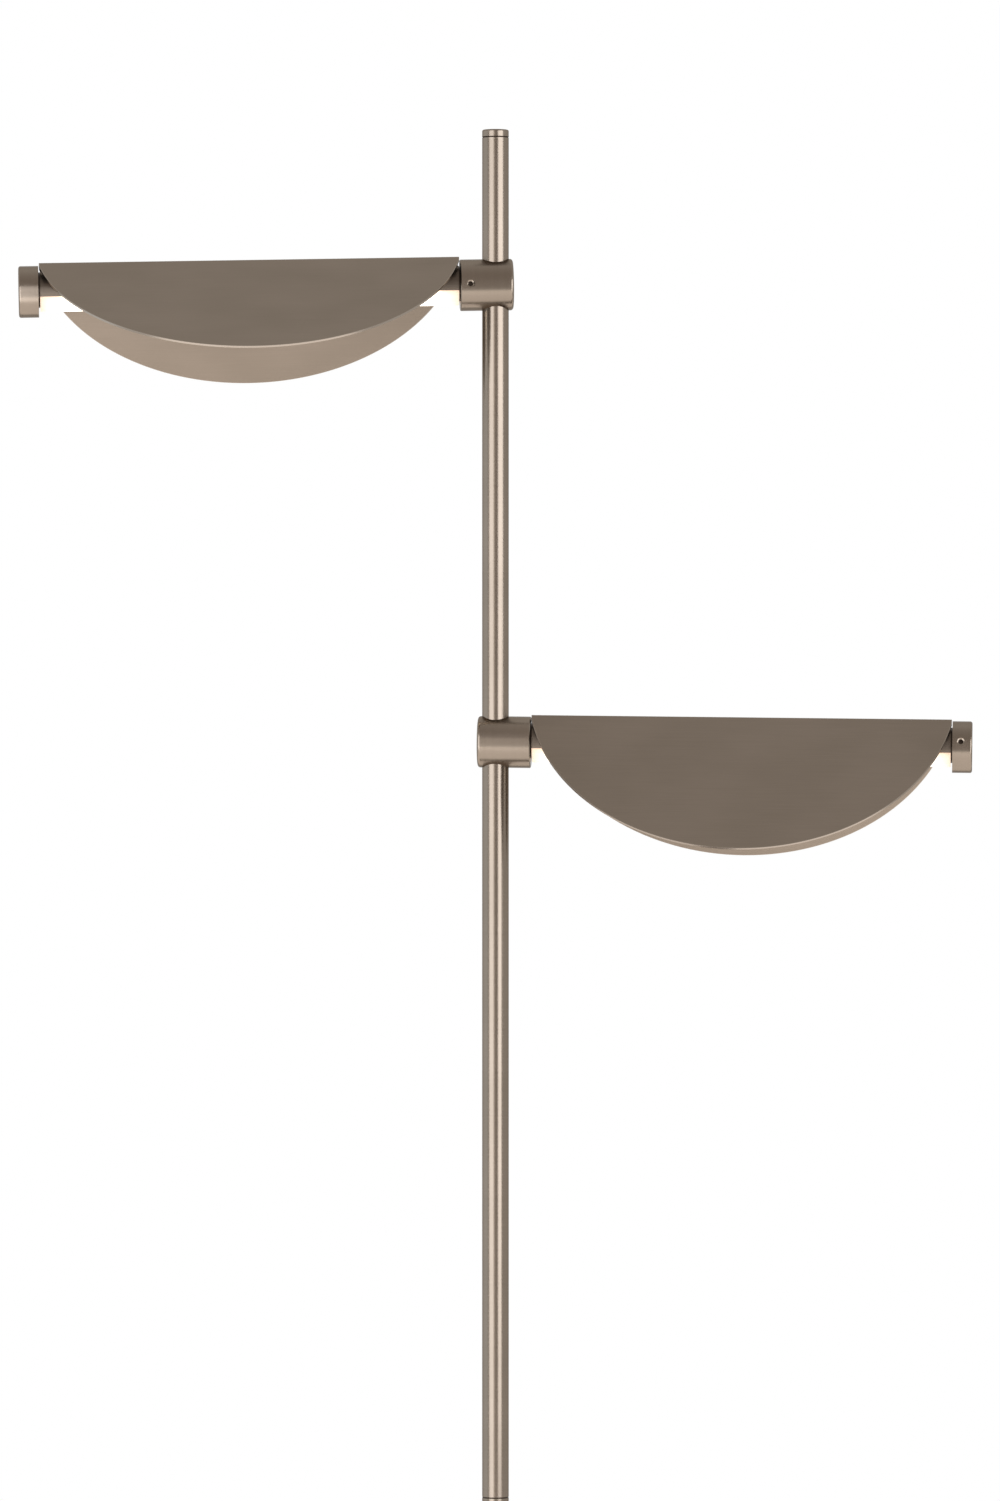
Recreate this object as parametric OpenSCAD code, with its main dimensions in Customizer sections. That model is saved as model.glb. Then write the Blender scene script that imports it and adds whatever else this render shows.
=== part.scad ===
// Two-light floor lamp. A round weighted base carries a pole in two sections.
// Two lights hang on the pole, each on a hub that swivels about it. Each light
// is a tube that turns in its hub, with a lit lower side, an end cap and two
// half-moon leaves on hinge rods that fold down over it like a roof.
// Millimetres, +Z up. The origin is on the floor, on the pole's axis.

/* [Pole] */
// Height of the whole lamp
lamp_h = 1500; // [1300:1:1900]
// Outer diameter of the pole
pole_d = 20; // [18:0.5:22]
// Wall of the pole's tube
pole_wall = 1.5; // [1:0.1:2.5]
// Length of the upper section, from the joint to the cap's groove
pole_upper_len = 1019.1; // [900:0.1:1150]
// Height of the cap's head
pole_cap_h = 5.4; // [4:0.1:12]
// Width of the shadow grooves at the cap and at the joint
groove_w = 0.5; // [0.4:0.1:1.5]
// Depth of the shadow grooves
groove_depth = 0.6; // [0.4:0.1:1.2]
// Length of the joiner inside each section
joiner_grip = 35; // [20:1:60]
// Diameter of the supply cable inside the pole
cable_d = 6; // [4:0.5:6.5]

/* [Base] */
// Diameter of the base plate
base_d = 260; // [200:1:340]
// Thickness of the base plate
base_t = 12; // [10:0.5:20]
// Rounding of the base plate's upper edge
base_round = 2; // [0.5:0.1:3]
// Thickness of the pad under the base plate
pad_t = 1.5; // [1:0.1:3]
// Width of the bare rim round the pad
pad_inset = 5; // [2:0.5:15]
// Diameter of the pocket under the base plate
pocket_d = 44; // [38:1:60]
// Depth of the pocket under the base plate
pocket_depth = 8; // [7:0.1:8.5]
// Diameter of the collar round the pole's foot
collar_d = 32; // [28:0.5:60]
// Height of the collar round the pole's foot
collar_h = 14; // [8:0.5:30]
// Height of the cable inlet above the floor
inlet_z = 80; // [75:1:160]

/* [Lights] */
// Distance from the lamp's top to the upper light's axis
upper_drop = 116.2; // [80:0.1:300]
// Distance between the two lights' axes
light_gap = 342.8; // [300:0.1:450]
// Heading of the upper light about the pole, in degrees
upper_heading = 182.8; // [0:0.1:360]
// Heading of the lower light about the pole, in degrees
lower_heading = -3.4; // [-180:0.1:180]
// Droop of the upper light below level, in degrees
upper_droop = 1.05; // [0:0.05:2]
// Droop of the lower light below level, in degrees
lower_droop = 0.65; // [0:0.05:2]
// Diameter of the light tube
tube_d = 30; // [28:0.5:32]
// Length of the light tube
tube_len = 313; // [240:0.1:400]
// Wall of the light tube
tube_wall = 1.8; // [1.5:0.1:2.4]
// Distance of the diffuser's upper edge below the light's axis
split_drop = 4.4; // [4:0.1:6]
// Wall of the diffuser
diffuser_wall = 2; // [1.5:0.1:2.5]
// Distance between two light chips
chip_pitch = 12; // [6:0.5:24]

/* [Hub and end cap] */
// Diameter of the hub and of the end cap
hub_d = 38.6; // [38:0.1:46]
// Reach of the hub behind the pole's axis
hub_back = 13.1; // [13:0.1:20]
// Reach of the hub in front of the pole's axis
hub_front = 26.7; // [26:0.1:36]
// Rounding of the hub's closed end
hub_round = 2.2; // [1:0.1:2.5]
// Length of the end cap
end_cap_len = 14.9; // [13:0.1:24]
// Rounding of the end cap's outer edge
end_cap_round = 1.6; // [0.5:0.1:2.5]
// Width of the gap between the tube and the hub or the end cap
tube_gap = 1.2; // [0.5:0.1:1.5]
// Diameter of the spigots in the hub and in the end cap
spigot_d = 24; // [22:0.5:24.5]
// Diameter of the lock screws
lock_screw_d = 5; // [4:0.5:5]
// Distance of the tube's lock screw from the floor of the hub's socket
tube_screw_in = 7.2; // [2.9:0.1:8]
// Distance of the end cap's lock screw from the cap's inner face
cap_screw_in = 6.3; // [5:0.1:7.5]
// Angle of the end cap's screw above the light's axis, in degrees
cap_screw_tilt = 12; // [-30:1:30]

/* [Leaves and hinges] */
// Depth of a leaf below its straight edge
leaf_depth = 131.7; // [110:0.1:150]
// Thickness of the leaf's sheet
leaf_t = 1.5; // [1:0.1:2]
// Length of the straight side at each end of a leaf
leaf_side = 4; // [1:0.5:10]
// Overhang of a leaf beyond each end of the tube
leaf_over = 0.6; // [-4:0.1:0.8]
// Distance of the hinge rods from the light's middle plane
rod_y = 3.9; // [3.8:0.1:5]
// Height of the hinge rods above the top of the light tube
rod_lift = 2.7; // [2.6:0.1:5]
// Diameter of the hinge rods
rod_d = 2.5; // [2:0.1:2.6]
// Diameter of the barrels that turn on the rods
barrel_d = 5; // [4.8:0.1:5]
// Number of lugs on the hinge rail
lug_count = 5; // [3:1:7]
// Length of a lug along the rod
lug_len = 12; // [10:0.5:20]
// Distance of the rail's ends from the ends of the tube
rail_inset = 7.3; // [5:0.1:20]
// Rest angle of the upper light's front leaf from vertical, in degrees
upper_front_angle = 57.7; // [34:0.1:90]
// Rest angle of the upper light's rear leaf from vertical, in degrees
upper_rear_angle = 49.7; // [34:0.1:90]
// Rest angle of the lower light's front leaf from vertical, in degrees
lower_front_angle = 42.5; // [34:0.1:90]
// Rest angle of the lower light's rear leaf from vertical, in degrees
lower_rear_angle = 38.6; // [34:0.1:90]

/* [Hidden] */
$fn = 96;
eps = 0.01;          // overshoot of a cut through a face
fit = 0.05;          // radial clearance of a turning or sliding fit
gap = 0.3;           // clearance between parts that move past each other

// Base, from the floor up
plate_top = pad_t + base_t;
pad_hole_d = pocket_d + 16;
nipple_r = 5;
nipple_bore_r = 3.5;
nipple_sunk = 0.8;
foot_spigot_h = 42;
foot_thread_h = 30;
washer_r = 16;
washer_t = 1.5;
nut_t = 5;
nut_flats = 17;
collar_chamfer = 1.5;

// Pole and its cable
pole_r = pole_d / 2;
pole_bore_r = pole_r - pole_wall;
pole_top = lamp_h - pole_cap_h - groove_w;
joint_z = pole_top - pole_upper_len;
insert_r = pole_bore_r - fit;
groove_r = pole_r - groove_depth;
tube_end_chamfer = 0.2;
cap_round = 1.2;
cap_plug_len = 14;
cable_r = cable_d / 2;
cable_bore_r = cable_r + 0.5;
cable_bend_r = cable_r + 1.5;
grommet_r = cable_bore_r + 1.3;
grommet_lip = 1;
grommet_proud = 1.5;

// Lock screws: a plain dog point, a thread and a hexagon socket
lock_screw_r = lock_screw_d / 2;
dog_r = lock_screw_r - 0.6;
dog_len = 1;
dog_gap = 0.4;
dog_groove = 1;
dog_groove_half = dog_r + gap;
screw_recess = 2;
pole_screw_recess = 0.3;
screw_lead_in = 0.5;
key_r = 0.55 * lock_screw_r;
key_depth = 1.3;

// Hub: the pole runs through it, and the light's spigot enters its front
hub_r = hub_d / 2;
hub_rim = 0.6;
chamber_r = pole_r + 1.2;
chamber_h = 8;
socket_start = pole_r + 2;
socket_r = spigot_d / 2;
spigot_r = socket_r - fit;
spigot_start = socket_start + 0.4;
tube_screw_x = socket_start + tube_screw_in;

// Light tube: x runs out along the light from the pole's axis
tube_r = tube_d / 2;
tube_bore_r = tube_r - tube_wall;
tube_x0 = hub_front + tube_gap;
tube_x1 = tube_x0 + tube_len;
cap_x0 = tube_x1 + tube_gap;
shelf_t = 2;
shelf_top = shelf_t - split_drop;
tongue_w = 1.4;
tongue_h = 1.1;
tongue_y = tube_bore_r - 1.5;
tongue_root = 2;
tongue_gap = 0.1;
plug_len = rail_inset + lug_len / 2 + 3;
plug_r = tube_bore_r - 0.1;
shoulder_r = tube_r - 0.5;
end_spigot_len = cap_screw_in + dog_groove_half + 0.8;
cap_screw_x = cap_x0 + cap_screw_in;

// Light strip and the lead that feeds it
lead_r = 1.75;
lead_bore_r = 2.1;
lead_bend_r = 3;
lead_drop_x = tube_x0 + plug_len + 8;
board_w = 12;
board_t = 1.2;
board_inset = 4;
chip_len = 3.5;
chip_w = 3;
chip_t = 0.8;
chip_count = floor((tube_len - 2 * board_inset - chip_len) / chip_pitch);
chip_x0 = (tube_x0 + tube_x1 - (chip_count - 1) * chip_pitch) / 2;

// Hinge rail on the tube, with the rods that the leaves turn on
rod_z = tube_r + rod_lift;
rod_r = rod_d / 2;
barrel_r = barrel_d / 2;
barrel_bore_r = rod_r + fit;
lug_bore_r = rod_r + 0.03;
lug_r = barrel_r - 0.4;
rail_top = rod_z + lug_r;
rail_web_half = rod_y - barrel_r - 0.4;
rail_x0 = tube_x0 + rail_inset;
rail_x1 = tube_x1 - rail_inset;
lug_pitch = (rail_x1 - rail_x0 - lug_len) / (lug_count - 1);
rail_screw_r = 1.2;
rail_screw_tip = tube_bore_r - 4;
rail_head_r = rod_y - lug_bore_r - 0.4;
rail_head_h = 1.4;
rail_key_r = 0.7;
clip_r = rod_r + 0.8;
clip_t = 0.6;

// Leaf: a segment of a disc, hung at leaf_d from the rod's axis. Its straight
// edge stands leaf_edge above the rod, and its arc starts leaf_side below it.
leaf_x0 = tube_x0 - leaf_over;
leaf_len = tube_len + 2 * leaf_over;
leaf_half = leaf_len / 2;
leaf_d = barrel_r - 0.1;
leaf_edge = 0.1;
leaf_rise = (leaf_half * leaf_half + leaf_side * leaf_side - leaf_depth * leaf_depth)
    / (2 * (leaf_depth - leaf_side));
leaf_r = leaf_depth + leaf_rise;
barrel_foot = 1.5;

// A light is [height of its axis, heading, droop, angle of the leaf on its
// left (+y) side, angle of the leaf on its right (-y) side].
upper_z = lamp_h - upper_drop;
lower_z = upper_z - light_gap;
UPPER = [upper_z, upper_heading, upper_droop, upper_front_angle, upper_rear_angle];
LOWER = [lower_z, lower_heading, lower_droop, lower_rear_angle, lower_front_angle];
LEFT = 1;
RIGHT = -1;

metal = "#857768";
steel = "#A8A49E";

// ---- helpers ----

// Half profile of a disc whose upper outer edge is rounded
module rounded_profile(r, h, edge) {
    square([r - edge, h]);
    square([r, h - edge]);
    translate([r - edge, h - edge]) circle(edge);
}

// Half profile of a tube with chamfered outer edges
module tube_profile(r_in, r_out, h, low, high)
    polygon([[r_in, 0], [r_out - low, 0], [r_out, low], [r_out, h - high],
             [r_out - high, h], [r_in, h]]);

module ring(r_in, r_out, h)
    difference() {
        cylinder(r = r_out, h = h);
        translate([0, 0, -eps]) cylinder(r = r_in, h = h + 2 * eps);
    }

// Turns a piece built along +Z so that it lies along +X
module along_x() rotate([0, 90, 0]) children();

// Cylinder along X, from x0 to x1
module rod_x(r, x0, x1) translate([x0, 0, 0]) along_x() cylinder(r = r, h = x1 - x0);

// Extrudes a section drawn in (y, z) along X, from x0 to x1
module section_x(x0, x1)
    translate([x0, 0, 0]) rotate([90, 0, 90]) linear_extrude(x1 - x0) children();

// Quarter bend of a round cable: it comes up along +Z and leaves along +X
module bend(r, cable)
    translate([r, 0, 0]) rotate([90, 0, 180]) rotate_extrude(angle = 90)
        translate([r, 0]) circle(cable);

// Headless screw along +Z, with its point at the origin
module lock_screw(len)
    color(steel) difference() {
        rotate_extrude() polygon([[0, 0], [dog_r, 0], [dog_r, dog_len], [lock_screw_r, dog_len],
                                  [lock_screw_r, len], [0, len]]);
        translate([0, 0, len - key_depth]) cylinder(r = key_r, h = key_depth + eps, $fn = 6);
    }

// Threaded hole for a lock screw along +Z, from a bore of radius z0 to the
// surface at z1, where it has a countersink
module lock_screw_hole(z0, z1) {
    translate([0, 0, z0 - 1]) cylinder(r = lock_screw_r + fit, h = z1 - z0 + 2);
    translate([0, 0, z1 - screw_lead_in])
        cylinder(r1 = lock_screw_r, r2 = lock_screw_r + 2 * screw_lead_in, h = 2 * screw_lead_in);
}

// Puts a piece at its light's height and heading, with the swivel axis plumb
module at_hub(light) translate([0, 0, light[0]]) rotate([0, 0, light[1]]) children();

// The same, turned down by the light's droop
module at_light(light) at_hub(light) rotate([0, light[2], 0]) children();

// ---- base ----

module base_plate()
    color(metal) translate([0, 0, pad_t]) difference() {
        rotate_extrude() rounded_profile(base_d / 2, base_t, base_round);
        translate([0, 0, -eps]) cylinder(d = pocket_d, h = pocket_depth + eps);
        cylinder(r = nipple_r + gap, h = base_t + 1);
    }

module base_pad() color("#2B2A29") ring(pad_hole_d / 2, base_d / 2 - pad_inset, pad_t);

module foot_collar()
    color(metal) translate([0, 0, plate_top]) difference() {
        rotate_extrude()
            tube_profile(pole_r + fit, collar_d / 2, collar_h, 0, collar_chamfer);
        translate([0, 0, collar_h / 2]) rotate([-90, 0, 0]) lock_screw_hole(pole_r, collar_d / 2);
    }

module collar_screw()
    translate([0, pole_r, plate_top + collar_h / 2]) rotate([-90, 0, 0])
        lock_screw(collar_d / 2 - pole_r - screw_recess);

module foot_spigot()
    color(steel) translate([0, 0, plate_top]) difference() {
        rotate_extrude() tube_profile(nipple_bore_r, insert_r, foot_spigot_h, 0, 1);
        translate([0, 0, -eps]) cylinder(r = nipple_r + fit, h = foot_thread_h + eps);
    }

module foot_nipple()
    color(steel) translate([0, 0, pad_t + nipple_sunk])
        ring(nipple_bore_r, nipple_r, base_t - nipple_sunk + foot_thread_h - 1);

module foot_washer()
    color(steel) translate([0, 0, pad_t + pocket_depth - washer_t])
        ring(nipple_r + gap, washer_r, washer_t);

module foot_nut()
    color(steel) translate([0, 0, pad_t + pocket_depth - washer_t - nut_t]) difference() {
        cylinder(d = nut_flats / cos(30), h = nut_t, $fn = 6);
        translate([0, 0, -eps]) cylinder(r = nipple_r + fit, h = nut_t + 2 * eps);
    }

// ---- pole ----

module pole_lower()
    color(metal) difference() {
        translate([0, 0, plate_top]) rotate_extrude()
            tube_profile(pole_bore_r, pole_r, joint_z - groove_w - plate_top, 0, tube_end_chamfer);
        translate([0, 0, inlet_z]) rotate([-90, 0, 0]) cylinder(r = grommet_r, h = pole_d);
    }

// Rubber bush of the cable inlet, at the back of the pole's foot
module cable_grommet()
    color("#1F1F1F") translate([0, 0, inlet_z]) difference() {
        union() {
            rotate([-90, 0, 0]) translate([0, 0, pole_bore_r - 1])
                cylinder(r = grommet_r - fit, h = pole_wall + 1.5);
            difference() {
                rotate([-90, 0, 0])
                    cylinder(r = grommet_r + grommet_lip, h = pole_r + grommet_proud);
                translate([0, 0, -pole_d]) cylinder(r = pole_r, h = 2 * pole_d);
            }
        }
        rotate([-90, 0, 0]) cylinder(r = cable_r + 0.2, h = 2 * pole_d);
    }

module pole_joiner()
    color(steel) difference() {
        union() {
            translate([0, 0, joint_z - groove_w - joiner_grip]) rotate_extrude()
                tube_profile(0, insert_r, 2 * joiner_grip + groove_w, 1, 1);
            translate([0, 0, joint_z - groove_w]) cylinder(r = groove_r, h = groove_w);
        }
        translate([0, 0, joint_z - 2 * joiner_grip])
            cylinder(r = cable_bore_r, h = 4 * joiner_grip);
    }

module pole_upper()
    color(metal) difference() {
        translate([0, 0, joint_z]) rotate_extrude()
            tube_profile(pole_bore_r, pole_r, pole_top - joint_z, tube_end_chamfer,
                         tube_end_chamfer);
        for (light = [UPPER, LOWER])
            at_hub(light) rod_x(lead_bore_r, 0, pole_d);
    }

module pole_cap()
    color(metal) translate([0, 0, pole_top]) {
        translate([0, 0, groove_w]) rotate_extrude()
            rounded_profile(pole_r, pole_cap_h, cap_round);
        cylinder(r = groove_r, h = groove_w);
        translate([0, 0, -cap_plug_len]) cylinder(r = insert_r, h = cap_plug_len);
    }

// Cable inside the pole: in at the back of the foot and up, with a lead that
// leaves it for each light
module supply_cable()
    color("#222222") {
        translate([0, 0, inlet_z]) rotate([0, 0, 90]) {
            translate([0, 0, cable_bend_r]) mirror([0, 0, 1]) bend(cable_bend_r, cable_r);
            rod_x(cable_r, cable_bend_r, pole_r);
        }
        translate([0, 0, inlet_z + cable_bend_r])
            cylinder(r = cable_r, h = upper_z - inlet_z - 2 * cable_bend_r + 1);
        for (light = [UPPER, LOWER])
            at_hub(light) {
                translate([0, 0, -cable_bend_r]) bend(cable_bend_r, lead_r);
                rod_x(lead_r, cable_bend_r, pole_r - 0.5);
            }
    }

// ---- hub, spigots and end cap of a light ----

module hub_profile() {
    polygon([[0, -hub_back], [hub_r - hub_round, -hub_back], [hub_r, hub_round - hub_back],
             [hub_r, hub_front - hub_rim], [hub_r - hub_rim, hub_front], [0, hub_front]]);
    translate([hub_r - hub_round, hub_round - hub_back]) circle(hub_round);
}

// Hub: a plumb bore for the pole, a socket for the light's spigot, and a
// chamber round the pole for the wires, which go round it as the hub swivels
module hub(light)
    color(metal) at_hub(light) difference() {
        rotate([0, light[2], 0]) along_x() rotate_extrude() hub_profile();
        translate([0, 0, -hub_d]) cylinder(r = pole_r + fit, h = 2 * hub_d);
        translate([0, 0, -chamber_h / 2]) cylinder(r = chamber_r, h = chamber_h);
        rotate([0, light[2], 0]) {
            rod_x(socket_r, socket_start, hub_front + 1);
            rod_x(lead_bore_r, pole_r, socket_start + 1);
            rotate([0, -90, 0]) lock_screw_hole(pole_r, hub_back);
            translate([tube_screw_x, 0, 0]) rotate([-90, 0, 0]) lock_screw_hole(spigot_r, hub_r);
        }
    }

// Screw in the hub's closed end, that holds the hub on the pole
module pole_screw(light)
    at_light(light) translate([-pole_r - gap - fit, 0, 0]) rotate([0, -90, 0])
        lock_screw(hub_back - pole_r - gap - fit - pole_screw_recess);

// Screw in the hub's side, whose point runs in the groove of the arm spigot
module tube_screw(light) {
    point = spigot_r - dog_groove + dog_gap;
    at_light(light) translate([tube_screw_x, point, 0]) rotate([-90, 0, 0])
        lock_screw(hub_r - point - screw_recess);
}

// Plug that fills the tube's upper hollow, from x0 to x1
module tube_plug(x0, x1)
    section_x(x0, x1) intersection() {
        circle(plug_r);
        translate([-tube_r, shelf_top + fit]) square([tube_d, tube_d]);
    }

// Shoulder of a spigot, that fills the gap beside the tube's upper side
module shoulder(x0, x1)
    section_x(x0, x1) intersection() {
        circle(shoulder_r);
        translate([-tube_r, -split_drop]) square([tube_d, tube_d]);
    }

// Spigot that carries the tube in the hub
module arm_spigot(light)
    color(steel) at_light(light) difference() {
        union() {
            rod_x(spigot_r, spigot_start, tube_x0);
            shoulder(hub_front + gap, tube_x0);
            tube_plug(tube_x0 - eps, tube_x0 + plug_len);
        }
        dog_groove_ring(tube_screw_x);
        rail_screw_hole(0);
        rod_x(lead_bore_r, spigot_start - 1, tube_x0 + plug_len + 1);
    }

// Spigot that carries the end cap
module end_spigot(light)
    color(steel) at_light(light) difference() {
        union() {
            rod_x(spigot_r, tube_x1, cap_x0 + end_spigot_len);
            shoulder(tube_x1, cap_x0);
            tube_plug(tube_x1 - plug_len, tube_x1 + eps);
        }
        dog_groove_ring(cap_screw_x);
        rail_screw_hole(lug_count - 1);
    }

// Groove round a spigot for a lock screw's point
module dog_groove_ring(x)
    translate([x - dog_groove_half, 0, 0]) along_x()
        ring(spigot_r - dog_groove, spigot_r + 1, 2 * dog_groove_half);

module end_cap(light)
    color(metal) at_light(light) difference() {
        translate([cap_x0, 0, 0]) along_x() rotate_extrude()
            rounded_profile(hub_r, end_cap_len, end_cap_round);
        rod_x(socket_r, cap_x0 - 1, cap_x0 + end_spigot_len + 0.4);
        translate([cap_screw_x, 0, 0]) rotate([90 - cap_screw_tilt, 0, 0])
            lock_screw_hole(spigot_r, hub_r);
    }

module cap_screw(light) {
    point = spigot_r - dog_groove + dog_gap;
    at_light(light) translate([cap_screw_x, 0, 0]) rotate([90 - cap_screw_tilt, 0, 0])
        translate([0, 0, point]) lock_screw(hub_r - point - screw_recess);
}

// ---- light tube ----

function rail_screw_x(i) = rail_x0 + lug_len / 2 + i * lug_pitch;

// Hole for one of the rail's screws. The first and the last screw also hold
// the spigots in the tube.
module rail_screw_hole(i)
    translate([rail_screw_x(i), 0, rail_screw_tip - gap])
        cylinder(r = rail_screw_r + fit, h = rail_top - rail_screw_tip + 1);

module light_tube_section()
    difference() {
        circle(tube_r);
        translate([-tube_d, -2 * tube_d]) square([2 * tube_d, 2 * tube_d - split_drop]);
        intersection() {
            circle(tube_bore_r);
            translate([-tube_d, shelf_top]) square([2 * tube_d, tube_d]);
        }
        for (side = [LEFT, RIGHT])
            translate([side * tongue_y - tongue_w / 2 - tongue_gap, -split_drop - 1])
                square([tongue_w + 2 * tongue_gap, 1 + tongue_h + tongue_gap]);
    }

// Extruded tube: round above, with a shelf that closes it below
module light_tube(light)
    color(metal) at_light(light) difference() {
        section_x(tube_x0, tube_x1) light_tube_section();
        for (i = [0 : lug_count - 1]) rail_screw_hole(i);
        translate([lead_drop_x, 0, -tube_r]) cylinder(r = lead_r + 0.5, h = tube_r);
    }

// Opal cover that closes the round below, with a tongue in each of the
// tube's grooves
module diffuser(light)
    color("#FFF3E0") at_light(light) section_x(tube_x0, tube_x1) {
        difference() {
            circle(tube_r);
            circle(tube_r - diffuser_wall);
            translate([-tube_d, -split_drop - tongue_gap]) square([2 * tube_d, 2 * tube_d]);
        }
        for (side = [LEFT, RIGHT])
            translate([side * tongue_y - tongue_w / 2, -split_drop - tongue_root])
                square([tongue_w, tongue_root + tongue_h]);
    }

module led_board(light)
    color("#E9E6DF") at_light(light)
        translate([tube_x0 + board_inset, -board_w / 2, -split_drop - board_t])
            cube([tube_len - 2 * board_inset, board_w, board_t]);

module led_chips(light)
    color("#F4D35E") at_light(light)
        for (i = [0 : chip_count - 1])
            translate([chip_x0 + i * chip_pitch - chip_len / 2, -chip_w / 2,
                       -split_drop - board_t - chip_t])
                cube([chip_len, chip_w, chip_t]);

// Lead from the hub, through the arm spigot and down to the board
module lead(light)
    color("#D8D4CC") at_light(light) {
        rod_x(lead_r, spigot_start + 1, lead_drop_x - lead_bend_r);
        translate([lead_drop_x, 0, -lead_bend_r]) rotate([0, 0, 180]) bend(lead_bend_r, lead_r);
        translate([lead_drop_x, 0, -split_drop]) cylinder(r = lead_r, h = split_drop - lead_bend_r);
    }

// ---- hinges and leaves ----

module rail_web_section()
    difference() {
        translate([-rail_web_half, 0]) square([2 * rail_web_half, rail_top]);
        circle(tube_r);
    }

// Lug: holds both rods, and stands on the tube
module lug_section()
    difference() {
        union() {
            for (side = [LEFT, RIGHT])
                translate([side * rod_y, rod_z]) circle(lug_r);
            translate([-rod_y, 0]) square([2 * rod_y, rail_top]);
            translate([-rod_y - lug_r, 0]) square([2 * (rod_y + lug_r), rod_z]);
        }
        circle(tube_r);
        for (side = [LEFT, RIGHT])
            translate([side * rod_y, rod_z]) circle(lug_bore_r);
    }

module hinge_rail(light)
    color(metal) at_light(light) difference() {
        union() {
            section_x(rail_x0, rail_x1) rail_web_section();
            for (i = [0 : lug_count - 1])
                section_x(rail_x0 + i * lug_pitch, rail_x0 + i * lug_pitch + lug_len)
                    lug_section();
        }
        for (i = [0 : lug_count - 1]) {
            rail_screw_hole(i);
            translate([rail_screw_x(i), 0, rail_top - rail_head_h])
                cylinder(r1 = rail_screw_r, r2 = rail_head_r, h = rail_head_h + eps);
        }
    }

// Countersunk screws that hold the rail on the tube
module rail_screws(light)
    color(steel) at_light(light)
        for (i = [0 : lug_count - 1])
            translate([rail_screw_x(i), 0, 0]) difference() {
                union() {
                    translate([0, 0, rail_screw_tip])
                        cylinder(r = rail_screw_r, h = rail_top - rail_head_h - rail_screw_tip);
                    translate([0, 0, rail_top - rail_head_h])
                        cylinder(r1 = rail_screw_r, r2 = rail_head_r - fit, h = rail_head_h - fit);
                }
                translate([0, 0, rail_top - rail_head_h])
                    cylinder(r = rail_key_r, h = rail_head_h + 1, $fn = 6);
            }

module hinge_rods(light)
    color(steel) at_light(light)
        for (side = [LEFT, RIGHT])
            translate([0, side * rod_y, rod_z])
                rod_x(rod_r, rail_x0 - clip_t - 2 * gap, rail_x1 + clip_t + 2 * gap);

// Spring clips on the rods' ends
module rod_clips(light)
    color(steel) at_light(light)
        for (side = [LEFT, RIGHT], x = [rail_x0 - gap - clip_t, rail_x1 + gap])
            translate([x, side * rod_y, rod_z]) along_x() ring(rod_r + fit / 2, clip_r, clip_t);

module leaf_outline()
    intersection() {
        translate([-leaf_half, -leaf_depth]) square([leaf_len, leaf_depth]);
        translate([0, leaf_rise]) circle(leaf_r, $fn = 360);
    }

// Leaf hanging straight down from a rod at the origin: the sheet, and the
// barrels brazed to it that turn on the rod between the lugs
module hanging_leaf()
    difference() {
        union() {
            translate([leaf_x0 + leaf_half, leaf_d + leaf_t, leaf_edge]) rotate([90, 0, 0])
                linear_extrude(leaf_t) leaf_outline();
            for (i = [0 : lug_count - 2]) {
                x0 = rail_x0 + i * lug_pitch + lug_len + gap;
                x1 = rail_x0 + (i + 1) * lug_pitch - gap;
                rod_x(barrel_r, x0, x1);
                translate([x0, rod_r, -barrel_foot])
                    cube([x1 - x0, leaf_d - rod_r + eps, barrel_foot + leaf_edge]);
            }
        }
        rod_x(barrel_bore_r, rail_x0, rail_x1);
    }

// Leaf on one side of a light, folded down to its angle from vertical
module leaf(light, side) {
    angle = side == LEFT ? light[3] : light[4];
    color(metal) at_light(light) mirror([0, side == LEFT ? 0 : 1, 0])
        translate([0, rod_y, rod_z]) rotate([angle, 0, 0]) hanging_leaf();
}

base_plate();
base_pad();
foot_collar();
collar_screw();
foot_spigot();
foot_nipple();
foot_washer();
foot_nut();
cable_grommet();
pole_lower();
pole_joiner();
pole_upper();
pole_cap();
supply_cable();
hub(UPPER);  // upper_hub
pole_screw(UPPER);  // upper_pole_screw
tube_screw(UPPER);  // upper_tube_screw
arm_spigot(UPPER);  // upper_arm_spigot
light_tube(UPPER);  // upper_light_tube
diffuser(UPPER);  // upper_diffuser
led_board(UPPER);  // upper_led_board
led_chips(UPPER);  // upper_led_chips
lead(UPPER);  // upper_lead
end_spigot(UPPER);  // upper_end_spigot
end_cap(UPPER);  // upper_end_cap
cap_screw(UPPER);  // upper_cap_screw
hinge_rail(UPPER);  // upper_hinge_rail
rail_screws(UPPER);  // upper_rail_screws
hinge_rods(UPPER);  // upper_hinge_rods
rod_clips(UPPER);  // upper_rod_clips
leaf(UPPER, LEFT);  // upper_front_leaf
leaf(UPPER, RIGHT);  // upper_rear_leaf
hub(LOWER);  // lower_hub
pole_screw(LOWER);  // lower_pole_screw
tube_screw(LOWER);  // lower_tube_screw
arm_spigot(LOWER);  // lower_arm_spigot
light_tube(LOWER);  // lower_light_tube
diffuser(LOWER);  // lower_diffuser
led_board(LOWER);  // lower_led_board
led_chips(LOWER);  // lower_led_chips
lead(LOWER);  // lower_lead
end_spigot(LOWER);  // lower_end_spigot
end_cap(LOWER);  // lower_end_cap
cap_screw(LOWER);  // lower_cap_screw
hinge_rail(LOWER);  // lower_hinge_rail
rail_screws(LOWER);  // lower_rail_screws
hinge_rods(LOWER);  // lower_hinge_rods
rod_clips(LOWER);  // lower_rod_clips
leaf(LOWER, RIGHT);  // lower_front_leaf
leaf(LOWER, LEFT);  // lower_rear_leaf
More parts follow.
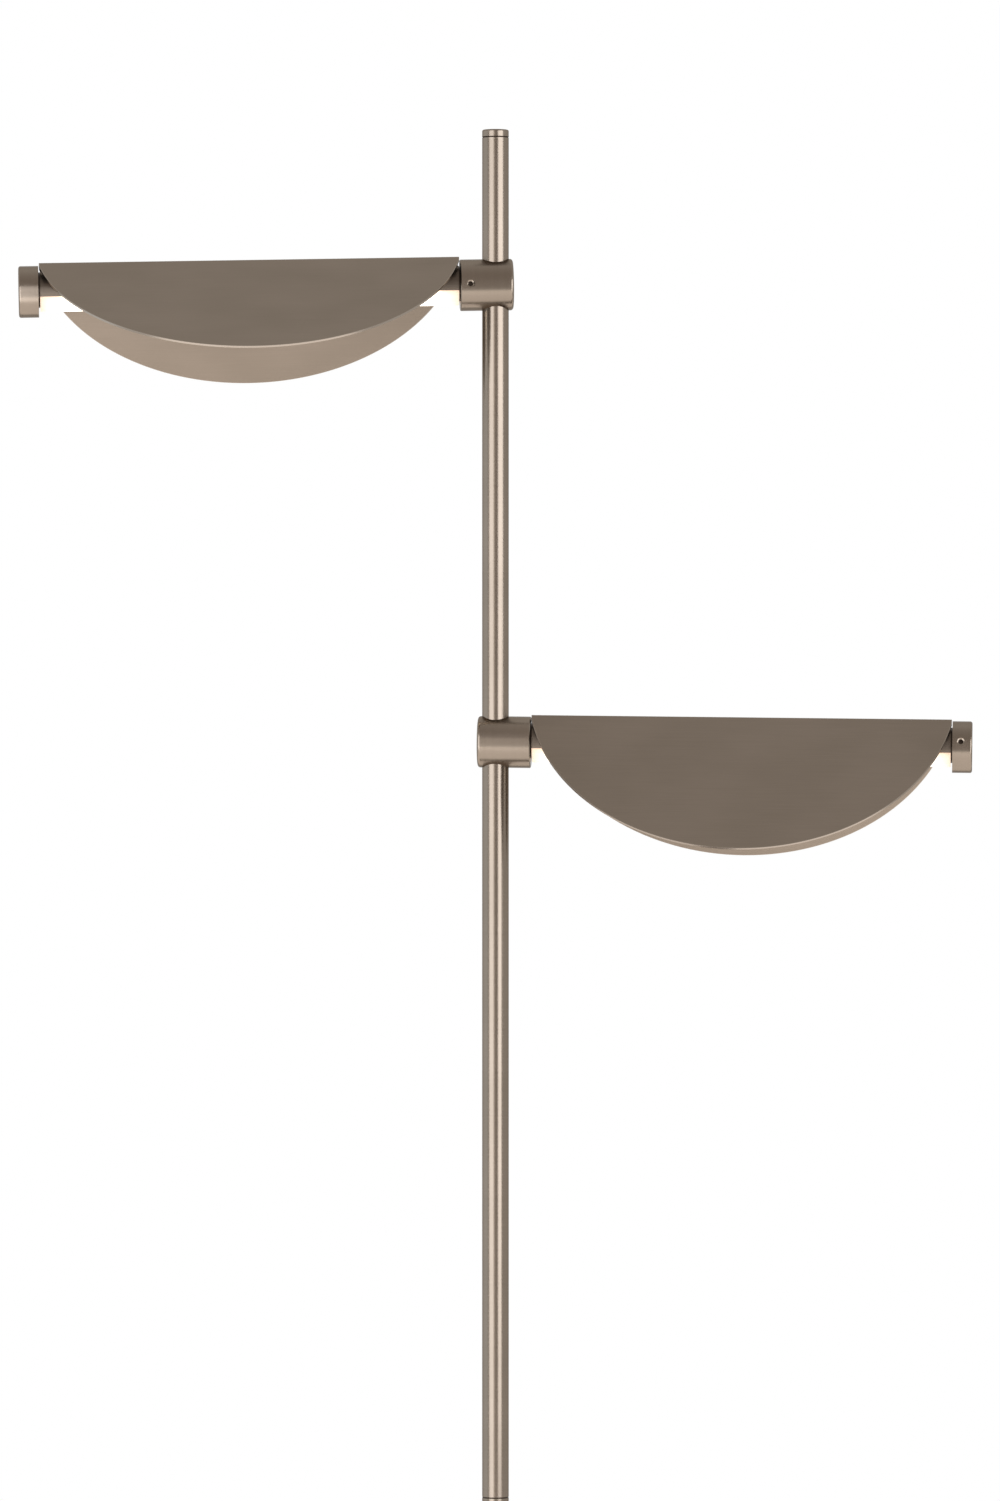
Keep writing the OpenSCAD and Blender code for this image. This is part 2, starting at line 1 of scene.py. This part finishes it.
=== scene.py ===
"""Looks of a floor lamp with two tube lights and half-moon leaves.

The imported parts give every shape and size. This script gives them their finishes and sets up
the studio round them. Lengths are metres, +Z is up, and -Y is the front of the lamp.
"""

import math

import bmesh
import bpy
from mathutils import Euler, Matrix, Vector


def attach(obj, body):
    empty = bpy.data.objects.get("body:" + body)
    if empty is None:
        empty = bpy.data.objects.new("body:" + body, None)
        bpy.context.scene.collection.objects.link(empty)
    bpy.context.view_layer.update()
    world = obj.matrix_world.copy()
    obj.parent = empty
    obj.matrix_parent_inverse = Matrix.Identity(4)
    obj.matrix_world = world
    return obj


MM = 0.001

# Each light: height of its axis, its heading about the pole and its droop, and how far each
# leaf is turned about the tube, in degrees
LIGHTS = {
    "upper": {"height": 1.3838, "heading": 182.8, "droop": 1.05, "front": 57.7, "rear": -49.7},
    "lower": {"height": 1.0410, "heading": -3.4, "droop": 0.65, "front": -42.5, "rear": 38.6},
}

# Places and sizes on a light, in mm: x runs out along the tube from the pole
TUBE_MIDDLE = 184.4
TUBE_HALF = 156.5
DIFFUSER_TOP = -4.4
ROD_Y, ROD_Z = 3.9, 17.7
ARC_RADIUS, ARC_CENTRE_Z = 160.48, 28.88
HUB_RADIUS = 19.3
HUB_SCREW_X, HUB_SCREW_TURN = 19.5, -90
CAP_SCREW_X, CAP_SCREW_TURN = 348.4, 78

# Painted highlight on a leaf's round edge, in mm: its width, and the width over which it sets
# in
RIM_WIDTH, RIM_BLUR = 0.2, 0.4

# Heights of the grooves under the pole's cap and at its joint, and half their width, in mm
POLE_GROOVES = (1494.35, 474.75)
GROOVE_HALF = 0.5

# Countersunk mouth of a lock screw's hole, in mm: radius, and height above the hub's surface
COUNTERSINK = [(2.9, 0), (1.9, -0.58), (1.9, -1.5), (2.42, -1.5), (2.42, -0.5)]
COUNTERSINK_STEPS = 48

# Tones of each finish, in the hollows and on the crests of its grain
NICKEL = ("#786D61", "#82766A")
ANODISED = ("#574E45", "#645A50")
ZINC = ("#8E8C88", "#A3A19C")
# Black oxide of the lock screws, and painted shade on the spigots and joiner seen in the gaps
BLACK_OXIDE_AND_GAP_SHADE = ("#2E2620", "#3D342D")
OPAL = ("#F4EFE6", "#FBF7F0")
SOLDER_MASK = ("#DEDCD4", "#E9E7E0")
PHOSPHOR = ("#E6C24A", "#F2D56C")
GREY_SILICONE = ("#B9B6AF", "#CBC8C1")
BLACK_RUBBER = ("#1C1B1A", "#2B2A29")
BLACK_JACKET = ("#161616", "#222222")
# Painted highlight along the leaves' round edges
EDGE_HIGHLIGHT = "#94897E"
# Painted shade in the pole's grooves
GROOVE_SHADE = "#3A3029"
RIM_TINT = "#CBC8C5"
CHIP_LIGHT = "#FFE2B0"

# Values of a noise between which tones change, and those between which the gloss of lined
# metal does. Roughness goes so far to either side of its middle, over lines and over frost.
TONE_SPAN = (0.3, 0.7)
GLOSS_SPAN = (0.25, 0.75)
LINE_GLOSS = 0.02
FROST_GLOSS = 0.04

# Size of the clouds in a plated surface, and length of a brushed line, in mm
CLOUDS = (70, 45, 45)
BRUSHED_LENGTH = 40

# Glow of a diffuser, with its colours up its top edge and its dimming out to its ends. Both
# take so many mm, and each colour comes after a share of them.
GLOW = 3.0
WARM_HEIGHT = 4.6
WARM_TONES = [(0.0, "#FFF3E2"), (0.7, "#FFE3BE"), (1.0, "#D9A878")]
DIM_LENGTH = 20
DIM_TONES = [(0.0, "#FFFFFF"), (0.4, "#9A9896"), (1.0, "#7C6C5D")]

# Sockets of a Mix node for colours, which share their names with those for numbers
MIX_A, MIX_B, MIX_COLOUR = 6, 7, 2

# Camera: level, and so far off that the pole hardly tapers in the picture
CAMERA_PLACE = (3.4 * MM, -6.0, 1.0122)
CAMERA_LENS = 191.9
CAMERA_SENSOR = 36.0
CAMERA_SHIFT_UP = 29.85 / 1501

# White room. In polish it is dimmer round the camera and overhead, and it brightens towards
# the bright side, over so much of the way there.
WHITE = (1.0, 1.0, 1.0, 1.0)
FRONT_OF_ROOM = (0.64, 0.59, 0.56, 1.0)
ROOM_LIGHT = (0.7, 0.7, 0.7, 1.0)
BRIGHT_SIDE = (0.0, 1.0, -0.4)
BRIGHT_FROM, BRIGHT_TO = -1.0, -0.1

# Floor: matt paint that turns as white as the room between two distances from the lamp
FLOOR_PAINT = "#EDECEA"
FLOOR_RADIUS = 3.2
FLOOR_FADE = (0.5, 2.2)

# Lamps: place, target, width and height, radiance (1 is white) and colour. All but the key
# lamp are seen in polish alone, and the key lamp lights what is matt.
DAYLIGHT = (0.95, 1.01, 1.1)
WARM_FLOOR = (1.0, 0.965, 0.95)
BLUE_WALL = (0.75, 0.95, 1.15)
NEUTRAL = (1.0, 1.0, 1.0)
POLISH_LAMPS = {
    "left_softbox": ((-0.96, -1.1, 1.0), (-0.96, 0, 1.0), (1.26, 1.6), 3.2, DAYLIGHT),
    "front_wall": ((-0.68, -3.0, 1.0), (-0.68, 0, 1.0), (0.86, 2.0), 0.75, NEUTRAL),
    "left_wall": ((-2.4, 0.6, 0.9), (0, 0.6, 0.9), (3.0, 2.2), 0.45, BLUE_WALL),
    "high_right_softbox": (
        (1.363, -1.274, 1.52), (0.777, -0.463, 1.52), (1.584, 0.96), 3.8, DAYLIGHT),
    "low_right_softbox": (
        (1.131, -1.442, 0.67), (0.545, -0.631, 0.67), (1.012, 0.74), 3.8, DAYLIGHT),
    "floor_sheen": ((0, -1.6, 0.004), (0, -1.6, 1), (3.0, 2.2), 1.3, WARM_FLOOR),
    "under_sheen": ((0, 0.2, 0.004), (0, 0.2, 1), (3.0, 1.4), 1.3, WARM_FLOOR),
}
KEY_LAMP = ((-1.2, -2.2, 2.6), (0, 0, 0.9), (1.6, 1.6), 1.0, NEUTRAL)


def srgb(hex_colour):
    """Linear RGBA of an sRGB colour such as "#8C7F72"."""
    values = [int(hex_colour[i : i + 2], 16) / 255 for i in (1, 3, 5)]
    linear = [v / 12.92 if v <= 0.04045 else ((v + 0.055) / 1.055) ** 2.4 for v in values]
    return (*linear, 1.0)


def add_node(tree, kind, settings=None, inputs=None, stops=()):
    """Adds a node with its settings, and a colour ramp with its (position, colour) stops.

    Each input, by name or number, takes a value or another node's socket.
    """
    node = tree.nodes.new(kind)
    for name, value in (settings or {}).items():
        setattr(node, name, value)
    for key, value in (inputs or {}).items():
        if isinstance(value, bpy.types.NodeSocket):
            tree.links.new(value, node.inputs[key])
        else:
            node.inputs[key].default_value = value
    for number, (position, colour) in enumerate(stops):
        elements = node.color_ramp.elements
        element = elements[number] if number < len(elements) else elements.new(position)
        element.position = position
        element.color = srgb(colour)
    return node


def new_tree(owner):
    """Empty node tree of a material or world."""
    owner.use_nodes = True
    owner.node_tree.nodes.clear()
    return owner.node_tree


def new_material(name):
    """An empty material, its node tree and its Object coordinates."""
    material = bpy.data.materials.new(name)
    tree = new_tree(material)
    return material, tree, add_node(tree, "ShaderNodeTexCoord").outputs["Object"]


def surface(tree, inputs):
    """Ends a material's tree with a Principled shader that has the given inputs."""
    shader = add_node(tree, "ShaderNodeBsdfPrincipled", inputs=inputs)
    add_node(tree, "ShaderNodeOutputMaterial", inputs={"Surface": shader.outputs["BSDF"]})


def light_matrix(light):
    """Place of a light: its origin on the pole's axis, and x out along its tube."""
    angles = Euler([math.radians(a) for a in (0, light["droop"], light["heading"])])
    return Matrix.Translation((0, 0, light["height"])) @ angles.to_matrix().to_4x4()


def place_on_light(tree, place, light):
    """Coordinates along, across and up a light, wherever it points."""
    matrix = light_matrix(light)
    own = add_node(tree, "ShaderNodeMapping", {"vector_type": "TEXTURE"}, {
        "Vector": place, "Location": matrix.to_translation(), "Rotation": matrix.to_euler()})
    return own.outputs["Vector"]


def place_on_lathe(tree, place, axis):
    """Coordinates of a turned piece: along its axis, and out from it."""
    along = add_node(
        tree, "ShaderNodeVectorMath", {"operation": "DOT_PRODUCT"}, {0: place, 1: axis})
    across = add_node(tree, "ShaderNodeVectorMath", {"operation": "MULTIPLY"}, {
        0: place, 1: [1 - part for part in axis]})
    radius = add_node(tree, "ShaderNodeVectorMath", {"operation": "LENGTH"}, {
        0: across.outputs["Vector"]})
    both = add_node(tree, "ShaderNodeCombineXYZ", inputs={
        "X": along.outputs["Value"], "Y": radius.outputs["Value"]})
    return both.outputs["Vector"]


def grain(tree, place, size_mm, detail=2.0):
    """Noise whose grain is given in millimetres along x, y and z."""
    scaled = add_node(tree, "ShaderNodeMapping", {"vector_type": "POINT"}, {
        "Vector": place, "Scale": [1 / (size * MM) for size in size_mm]})
    noise = add_node(tree, "ShaderNodeTexNoise", inputs={
        "Vector": scaled.outputs["Vector"], "Scale": 1.0, "Detail": detail})
    return noise.outputs["Fac"]


def toned_grain(tree, place, size_mm, tones, detail=2.0):
    """A grain and its colour, which goes from one tone in its hollows to one on its crests."""
    pattern = grain(tree, place, size_mm, detail)
    colour = add_node(
        tree, "ShaderNodeValToRGB", inputs={"Fac": pattern}, stops=zip(TONE_SPAN, tones))
    return pattern, colour.outputs["Color"]


def metal(name, tones, roughness, relief_mm, light=None, axis=None, mark=None, line=0.3):
    """Satin metal with fine lines from the lathe round the axis, or from a brush along x.

    The lines are about 0.05 mm apart. They are drawn some tenths of a millimetre apart (line),
    or they wouldn't show. Plating and handling leave faint clouds, and the lacquer keeps the
    rims from going white. A mark is (mask, colour, roughness): where the mask is 1, the
    surface has that colour and roughness instead.
    """
    material, tree, place = new_material(name)
    if light:
        place = place_on_light(tree, place, light)
    if axis:
        lines = grain(tree, place_on_lathe(tree, place, axis), (line, line, 1))
    else:
        lines = grain(tree, place, (BRUSHED_LENGTH, line, line))
    both = add_node(tree, "ShaderNodeMix", inputs={
        "Factor": 0.5, "A": lines, "B": grain(tree, place, CLOUDS)})
    colour = add_node(
        tree, "ShaderNodeValToRGB", inputs={"Fac": both.outputs["Result"]},
        stops=zip(TONE_SPAN, tones)).outputs["Color"]
    gloss = add_node(tree, "ShaderNodeMapRange", inputs={
        "Value": lines, "From Min": GLOSS_SPAN[0], "From Max": GLOSS_SPAN[1],
        "To Min": roughness - LINE_GLOSS, "To Max": roughness + LINE_GLOSS}).outputs["Result"]
    if mark:
        mask, marked_colour, marked_roughness = mark
        share = mask(tree, place)
        colour = add_node(tree, "ShaderNodeMix", {"data_type": "RGBA"}, {
            "Factor": share, MIX_A: colour, MIX_B: srgb(marked_colour)}).outputs[MIX_COLOUR]
        gloss = add_node(tree, "ShaderNodeMix", inputs={
            "Factor": share, "A": gloss, "B": marked_roughness}).outputs["Result"]
    relief = add_node(tree, "ShaderNodeBump", inputs={
        "Height": lines, "Distance": relief_mm * MM, "Strength": 0.5})
    surface(tree, {
        "Base Color": colour,
        "Roughness": gloss,
        "Metallic": 1.0,
        "Specular Tint": srgb(RIM_TINT),
        "Normal": relief.outputs["Normal"],
    })
    return material


def arc_edge(turn):
    """Mask of a leaf's round edge, where a highlight is painted in a brighter colour.

    The mask reads the light's coordinates, in which the leaf is turned by so many degrees.
    """
    rod = (0, math.copysign(ROD_Y, turn) * MM, ROD_Z * MM)

    def mask(tree, place):
        leaf = add_node(tree, "ShaderNodeMapping", {"vector_type": "TEXTURE"}, {
            "Vector": place, "Location": rod, "Rotation": (math.radians(turn), 0, 0)})
        flat = add_node(tree, "ShaderNodeVectorMath", {"operation": "MULTIPLY"}, {
            0: leaf.outputs["Vector"], 1: (1, 0, 1)})
        away = add_node(tree, "ShaderNodeVectorMath", {"operation": "DISTANCE"}, {
            0: flat.outputs["Vector"], 1: (TUBE_MIDDLE * MM, 0, ARC_CENTRE_Z * MM)})
        edge = add_node(tree, "ShaderNodeMapRange", inputs={
            "Value": away.outputs["Value"],
            "From Min": (ARC_RADIUS - RIM_WIDTH - RIM_BLUR) * MM,
            "From Max": (ARC_RADIUS - RIM_WIDTH) * MM})
        return edge.outputs["Result"]

    return mask


def pole_grooves(tree, place):
    """Mask of the pole's two grooves, where their shade is painted dark."""
    height = add_node(tree, "ShaderNodeSeparateXYZ", inputs={"Vector": place}).outputs["Z"]
    found = [
        add_node(tree, "ShaderNodeMath", {"operation": "COMPARE"}, {
            0: height, 1: groove * MM, 2: GROOVE_HALF * MM})
        for groove in POLE_GROOVES]
    both = add_node(tree, "ShaderNodeMath", {"operation": "MAXIMUM"}, {
        number: node.outputs["Value"] for number, node in enumerate(found)})
    return both.outputs["Value"]


def steel(name, tones, roughness):
    """Plated steel of screws, rods, clips and spigots, with a fine even frost."""
    material, tree, place = new_material(name)
    frost, colour = toned_grain(tree, place, (0.8, 0.8, 0.8), tones)
    gloss = add_node(tree, "ShaderNodeMapRange", inputs={
        "Value": frost, "From Min": TONE_SPAN[0], "From Max": TONE_SPAN[1],
        "To Min": roughness - FROST_GLOSS, "To Max": roughness + FROST_GLOSS})
    surface(tree, {
        "Base Color": colour, "Roughness": gloss.outputs["Result"], "Metallic": 1.0})
    return material


def opal_acrylic(name, light):
    """Opal acrylic, extruded and lit from inside.

    It glows white, warmer at its upper edges, and dims to cream past the last light chip.
    """
    material, tree, place = new_material(name)
    own = add_node(tree, "ShaderNodeSeparateXYZ", inputs={
        "Vector": place_on_light(tree, place, light)})
    at_edge = add_node(tree, "ShaderNodeMapRange", inputs={
        "Value": own.outputs["Z"],
        "From Min": (DIFFUSER_TOP - WARM_HEIGHT) * MM, "From Max": DIFFUSER_TOP * MM})
    warmth = add_node(
        tree, "ShaderNodeValToRGB", inputs={"Fac": at_edge.outputs["Result"]},
        stops=WARM_TONES)
    from_middle = add_node(tree, "ShaderNodeMath", {"operation": "SUBTRACT"}, {
        0: own.outputs["X"], 1: TUBE_MIDDLE * MM})
    either_way = add_node(tree, "ShaderNodeMath", {"operation": "ABSOLUTE"}, {
        0: from_middle.outputs["Value"]})
    at_end = add_node(tree, "ShaderNodeMapRange", inputs={
        "Value": either_way.outputs["Value"],
        "From Min": (TUBE_HALF - DIM_LENGTH) * MM, "From Max": TUBE_HALF * MM})
    dimming = add_node(
        tree, "ShaderNodeValToRGB", inputs={"Fac": at_end.outputs["Result"]}, stops=DIM_TONES)
    glow = add_node(
        tree, "ShaderNodeMix", {"data_type": "RGBA", "blend_type": "MULTIPLY"},
        {"Factor": 1.0, MIX_A: warmth.outputs["Color"], MIX_B: dimming.outputs["Color"]})
    haze, white = toned_grain(tree, place, (6, 6, 6), OPAL)
    relief = add_node(tree, "ShaderNodeBump", inputs={
        "Height": haze, "Distance": 0.02 * MM, "Strength": 0.3})
    surface(tree, {
        "Base Color": white,
        "Roughness": 0.42,
        "IOR": 1.49,
        "Emission Color": glow.outputs[MIX_COLOUR],
        "Emission Strength": GLOW,
        "Normal": relief.outputs["Normal"],
    })
    return material


def circuit_board():
    """White solder mask over glass-fibre board: smooth, with the weave just showing."""
    material, tree, place = new_material("white_circuit_board")
    weave, white = toned_grain(tree, place, (0.6, 0.6, 2.0), SOLDER_MASK)
    relief = add_node(tree, "ShaderNodeBump", inputs={
        "Height": weave, "Distance": 0.01 * MM, "Strength": 1.0})
    surface(tree, {
        "Base Color": white, "Roughness": 0.35, "Normal": relief.outputs["Normal"]})
    return material


def phosphor():
    """Silicone with phosphor over a light chip: yellow, slightly grainy, and lit."""
    material, tree, place = new_material("phosphor_silicone")
    _, yellow = toned_grain(tree, place, (0.3, 0.3, 0.3), PHOSPHOR)
    surface(tree, {
        "Base Color": yellow,
        "Roughness": 0.3,
        "Emission Color": srgb(CHIP_LIGHT),
        "Emission Strength": 1.5,
    })
    return material


def rubber(name, tones, pebble_mm, roughness):
    """Moulded or extruded rubber: matt, with a fine pebble."""
    material, tree, place = new_material(name)
    pebble, colour = toned_grain(tree, place, (pebble_mm, pebble_mm, pebble_mm), tones, 4.0)
    relief = add_node(tree, "ShaderNodeBump", inputs={
        "Height": pebble, "Distance": 0.05 * MM, "Strength": 0.6})
    surface(tree, {
        "Base Color": colour, "Roughness": roughness, "Normal": relief.outputs["Normal"]})
    return material


def finish(material, *names):
    """Gives the named CAD parts their material."""
    for name in names:
        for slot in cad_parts[name].material_slots:
            slot.material = material


def countersink(name, place, material):
    """Ring in the mouth of a lock screw's hole, where the drill's cone is bright."""
    ring = bmesh.new()
    profile = [ring.verts.new((r * MM, 0, (HUB_RADIUS + h) * MM)) for r, h in COUNTERSINK]
    sides = [ring.edges.new(pair) for pair in zip(profile, profile[1:] + profile[:1])]
    bmesh.ops.spin(
        ring, geom=profile + sides, axis=(0, 0, 1), cent=(0, 0, 0), angle=math.tau,
        steps=COUNTERSINK_STEPS, use_merge=True)
    bmesh.ops.recalc_face_normals(ring, faces=ring.faces)
    ring.transform(place)
    mesh = bpy.data.meshes.new(name)
    ring.to_mesh(mesh)
    ring.free()
    mesh.materials.append(material)
    piece = bpy.data.objects.new(name, mesh)
    bpy.context.scene.collection.objects.link(piece)
    return piece


def dress_stand(zinc, black):
    """Finishes of the base, the pole and the parts in them."""
    # Drawn tube, polished as it turns: soft and even, with painted shade in its grooves
    pole = metal(
        "brushed_nickel_pole", NICKEL, roughness=0.23, relief_mm=0.0004, axis=(0, 0, 1),
        mark=(pole_grooves, GROOVE_SHADE, 0.6))
    # Turned plate: its rings are coarser and just show
    base = metal(
        "spun_nickel_base", NICKEL, roughness=0.27, relief_mm=0.004, axis=(0, 0, 1), line=0.8)
    pad = rubber("black_rubber_pad", BLACK_RUBBER, pebble_mm=1.2, roughness=0.75)
    # An extruded jacket is smoother and a little glossy
    jacket = rubber("black_cable_jacket", BLACK_JACKET, pebble_mm=2.5, roughness=0.5)
    finish(pole, "pole_lower", "pole_upper", "pole_cap", "foot_collar")
    finish(base, "base_plate")
    finish(zinc, "foot_spigot", "foot_nipple", "foot_washer", "foot_nut")
    # Dark screw and joiner: black oxide, and painted shade in the pole's joint
    finish(black, "collar_screw", "pole_joiner")
    finish(pad, "base_pad", "cable_grommet")
    finish(jacket, "supply_cable")


def dress_light(name, light, zinc, black):
    """Finishes of a light's metal and diffuser, and the countersinks in its hub and cap."""
    for side in ("front", "rear"):
        # Sheet brushed along the light, with a painted highlight and lower roughness along its
        # round edge
        leaf = metal(
            f"brushed_nickel_{name}_{side}_leaf", NICKEL, roughness=0.32, relief_mm=0.002,
            light=light, mark=(arc_edge(light[side]), EDGE_HIGHLIGHT, 0.22))
        finish(leaf, f"{name}_{side}_leaf")
    # Extruded and anodised: darker and more matt than the nickel
    tube = metal(
        f"anodised_aluminium_{name}_tube", ANODISED, roughness=0.38, relief_mm=0.002,
        light=light)
    # Turned and plated: rings round the light's axis
    turned = metal(
        f"turned_nickel_{name}_light", NICKEL, roughness=0.23, relief_mm=0.001, light=light,
        axis=(1, 0, 0))
    finish(tube, f"{name}_light_tube", f"{name}_hinge_rail")
    finish(turned, f"{name}_hub", f"{name}_end_cap")
    # Dark spigots in the shadow gaps are painted shade; the dark lock screws are black oxide
    # that also stands for the shade in their holes
    for part in ("pole_screw", "tube_screw", "arm_spigot", "end_spigot", "cap_screw"):
        finish(black, f"{name}_{part}")
    for part in ("rail_screws", "hinge_rods", "rod_clips"):
        finish(zinc, f"{name}_{part}")
    finish(opal_acrylic(f"opal_acrylic_{name}", light), f"{name}_diffuser")
    for part, x, turn, body in (
        ("hub", HUB_SCREW_X, HUB_SCREW_TURN, "swivel_hub"),
        ("end_cap", CAP_SCREW_X, CAP_SCREW_TURN, "light"),
    ):
        place = (light_matrix(light) @ Matrix.Translation((x * MM, 0, 0))
                 @ Matrix.Rotation(math.radians(turn), 4, "X"))
        ring = countersink(f"{name}_{part}_countersink", place, turned)
        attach(ring, f"{name}_{body}")


def ray_mask(tree, *kinds):
    """1 for rays of the given kinds, and 0 for the others."""
    path = add_node(tree, "ShaderNodeLightPath")
    found = path.outputs[kinds[0]]
    for kind in kinds[1:]:
        either = add_node(tree, "ShaderNodeMath", {"operation": "MAXIMUM"}, {
            0: found, 1: path.outputs[kind]})
        found = either.outputs["Value"]
    return found


def white_room():
    """World: white to the eye, shaded in polish, and an even soft light for the rest."""
    world = bpy.data.worlds.new("white_room")
    bpy.context.scene.world = world
    tree = new_tree(world)
    way = add_node(
        tree, "ShaderNodeVectorMath", {"operation": "DOT_PRODUCT"},
        {0: add_node(tree, "ShaderNodeTexCoord").outputs["Generated"], 1: BRIGHT_SIDE})
    back = add_node(tree, "ShaderNodeMapRange", inputs={
        "Value": way.outputs["Value"], "From Min": BRIGHT_FROM, "From Max": BRIGHT_TO})
    walls = add_node(tree, "ShaderNodeMix", {"data_type": "RGBA"}, {
        "Factor": back.outputs["Result"], MIX_A: FRONT_OF_ROOM, MIX_B: WHITE})
    polish = add_node(tree, "ShaderNodeMix", {"data_type": "RGBA"}, {
        "Factor": ray_mask(tree, "Is Glossy Ray", "Is Transmission Ray"),
        MIX_A: ROOM_LIGHT, MIX_B: walls.outputs[MIX_COLOUR]})
    colour = add_node(tree, "ShaderNodeMix", {"data_type": "RGBA"}, {
        "Factor": ray_mask(tree, "Is Camera Ray"),
        MIX_A: polish.outputs[MIX_COLOUR], MIX_B: WHITE})
    sky = add_node(tree, "ShaderNodeBackground", inputs={
        "Color": colour.outputs[MIX_COLOUR], "Strength": 1.0})
    add_node(tree, "ShaderNodeOutputWorld", inputs={"Surface": sky.outputs["Background"]})


def pale_floor():
    """Floor: matt white paint that fades into the white room away from the lamp."""
    bpy.ops.mesh.primitive_circle_add(vertices=128, radius=FLOOR_RADIUS, fill_type="NGON")
    floor = bpy.context.object
    floor.name = "studio_floor"
    material, tree, place = new_material("matt_white_floor_paint")
    paint = add_node(tree, "ShaderNodeBsdfPrincipled", inputs={
        "Base Color": srgb(FLOOR_PAINT), "Roughness": 0.7})
    away = add_node(tree, "ShaderNodeVectorMath", {"operation": "LENGTH"}, {0: place})
    fade = add_node(tree, "ShaderNodeMapRange", {"interpolation_type": "SMOOTHSTEP"}, {
        "Value": away.outputs["Value"], "From Min": FLOOR_FADE[0], "From Max": FLOOR_FADE[1]})
    share = add_node(tree, "ShaderNodeMath", {"operation": "MULTIPLY"}, {
        0: fade.outputs["Result"],
        1: ray_mask(tree, "Is Camera Ray", "Is Glossy Ray", "Is Transmission Ray")})
    glow = add_node(tree, "ShaderNodeEmission", inputs={"Color": WHITE, "Strength": 1.0})
    blend = add_node(tree, "ShaderNodeMixShader", inputs={
        0: share.outputs["Value"], 1: paint.outputs["BSDF"], 2: glow.outputs["Emission"]})
    add_node(tree, "ShaderNodeOutputMaterial", inputs={"Surface": blend.outputs["Shader"]})
    floor.data.materials.append(material)


def area_lamp(name, place, target, size, radiance, colour, polish_only=True):
    """A soft lamp, size wide and high, whose face has the given radiance."""
    data = bpy.data.lights.new(name, "AREA")
    data.shape = "RECTANGLE"
    data.size, data.size_y = size
    data.energy = radiance * math.pi * size[0] * size[1]
    data.color = colour
    lamp = bpy.data.objects.new(name, data)
    lamp.location = place
    lamp.rotation_euler = (Vector(target) - Vector(place)).to_track_quat("-Z", "Y").to_euler()
    lamp.visible_camera = False
    lamp.visible_glossy = polish_only
    lamp.visible_diffuse = not polish_only
    lamp.visible_transmission = False
    bpy.context.scene.collection.objects.link(lamp)


def camera():
    """The photograph's camera."""
    data = bpy.data.cameras.new("camera")
    data.sensor_width = CAMERA_SENSOR
    data.lens = CAMERA_LENS
    data.shift_y = CAMERA_SHIFT_UP
    data.clip_end = 100
    eye = bpy.data.objects.new("camera", data)
    eye.location = CAMERA_PLACE
    eye.rotation_euler = (math.radians(90), 0, 0)
    bpy.context.scene.collection.objects.link(eye)
    bpy.context.scene.camera = eye


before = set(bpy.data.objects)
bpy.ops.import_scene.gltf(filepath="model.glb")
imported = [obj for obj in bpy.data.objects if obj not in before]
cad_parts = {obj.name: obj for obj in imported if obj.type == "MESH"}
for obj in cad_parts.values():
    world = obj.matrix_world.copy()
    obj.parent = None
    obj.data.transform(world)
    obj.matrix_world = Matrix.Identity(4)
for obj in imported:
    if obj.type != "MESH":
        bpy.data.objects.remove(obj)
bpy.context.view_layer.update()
bpy.context.scene.view_settings.view_transform = "Standard"
camera()

# Bright zinc on hidden fasteners and rods, and dark steel on what shows in gaps and holes: on
# the spigots and the joiner it is painted shade in the gaps, and on the lock screws it is
# black oxide that also stands for the shade in their holes
bright_zinc = steel("zinc_plated_steel", ZINC, 0.3)
oxide_and_gap_shade = steel("black_oxide_steel_and_gap_shade", BLACK_OXIDE_AND_GAP_SHADE, 0.4)
dress_stand(bright_zinc, oxide_and_gap_shade)
for light_name, light_values in LIGHTS.items():
    dress_light(light_name, light_values, bright_zinc, oxide_and_gap_shade)
finish(circuit_board(), "upper_led_board", "lower_led_board")
finish(phosphor(), "upper_led_chips", "lower_led_chips")
finish(rubber("grey_silicone_sleeve", GREY_SILICONE, 1.5, 0.6), "upper_lead", "lower_lead")

white_room()
pale_floor()
for lamp_name, values in POLISH_LAMPS.items():
    area_lamp(lamp_name, *values)
area_lamp("key_lamp", *KEY_LAMP, polish_only=False)
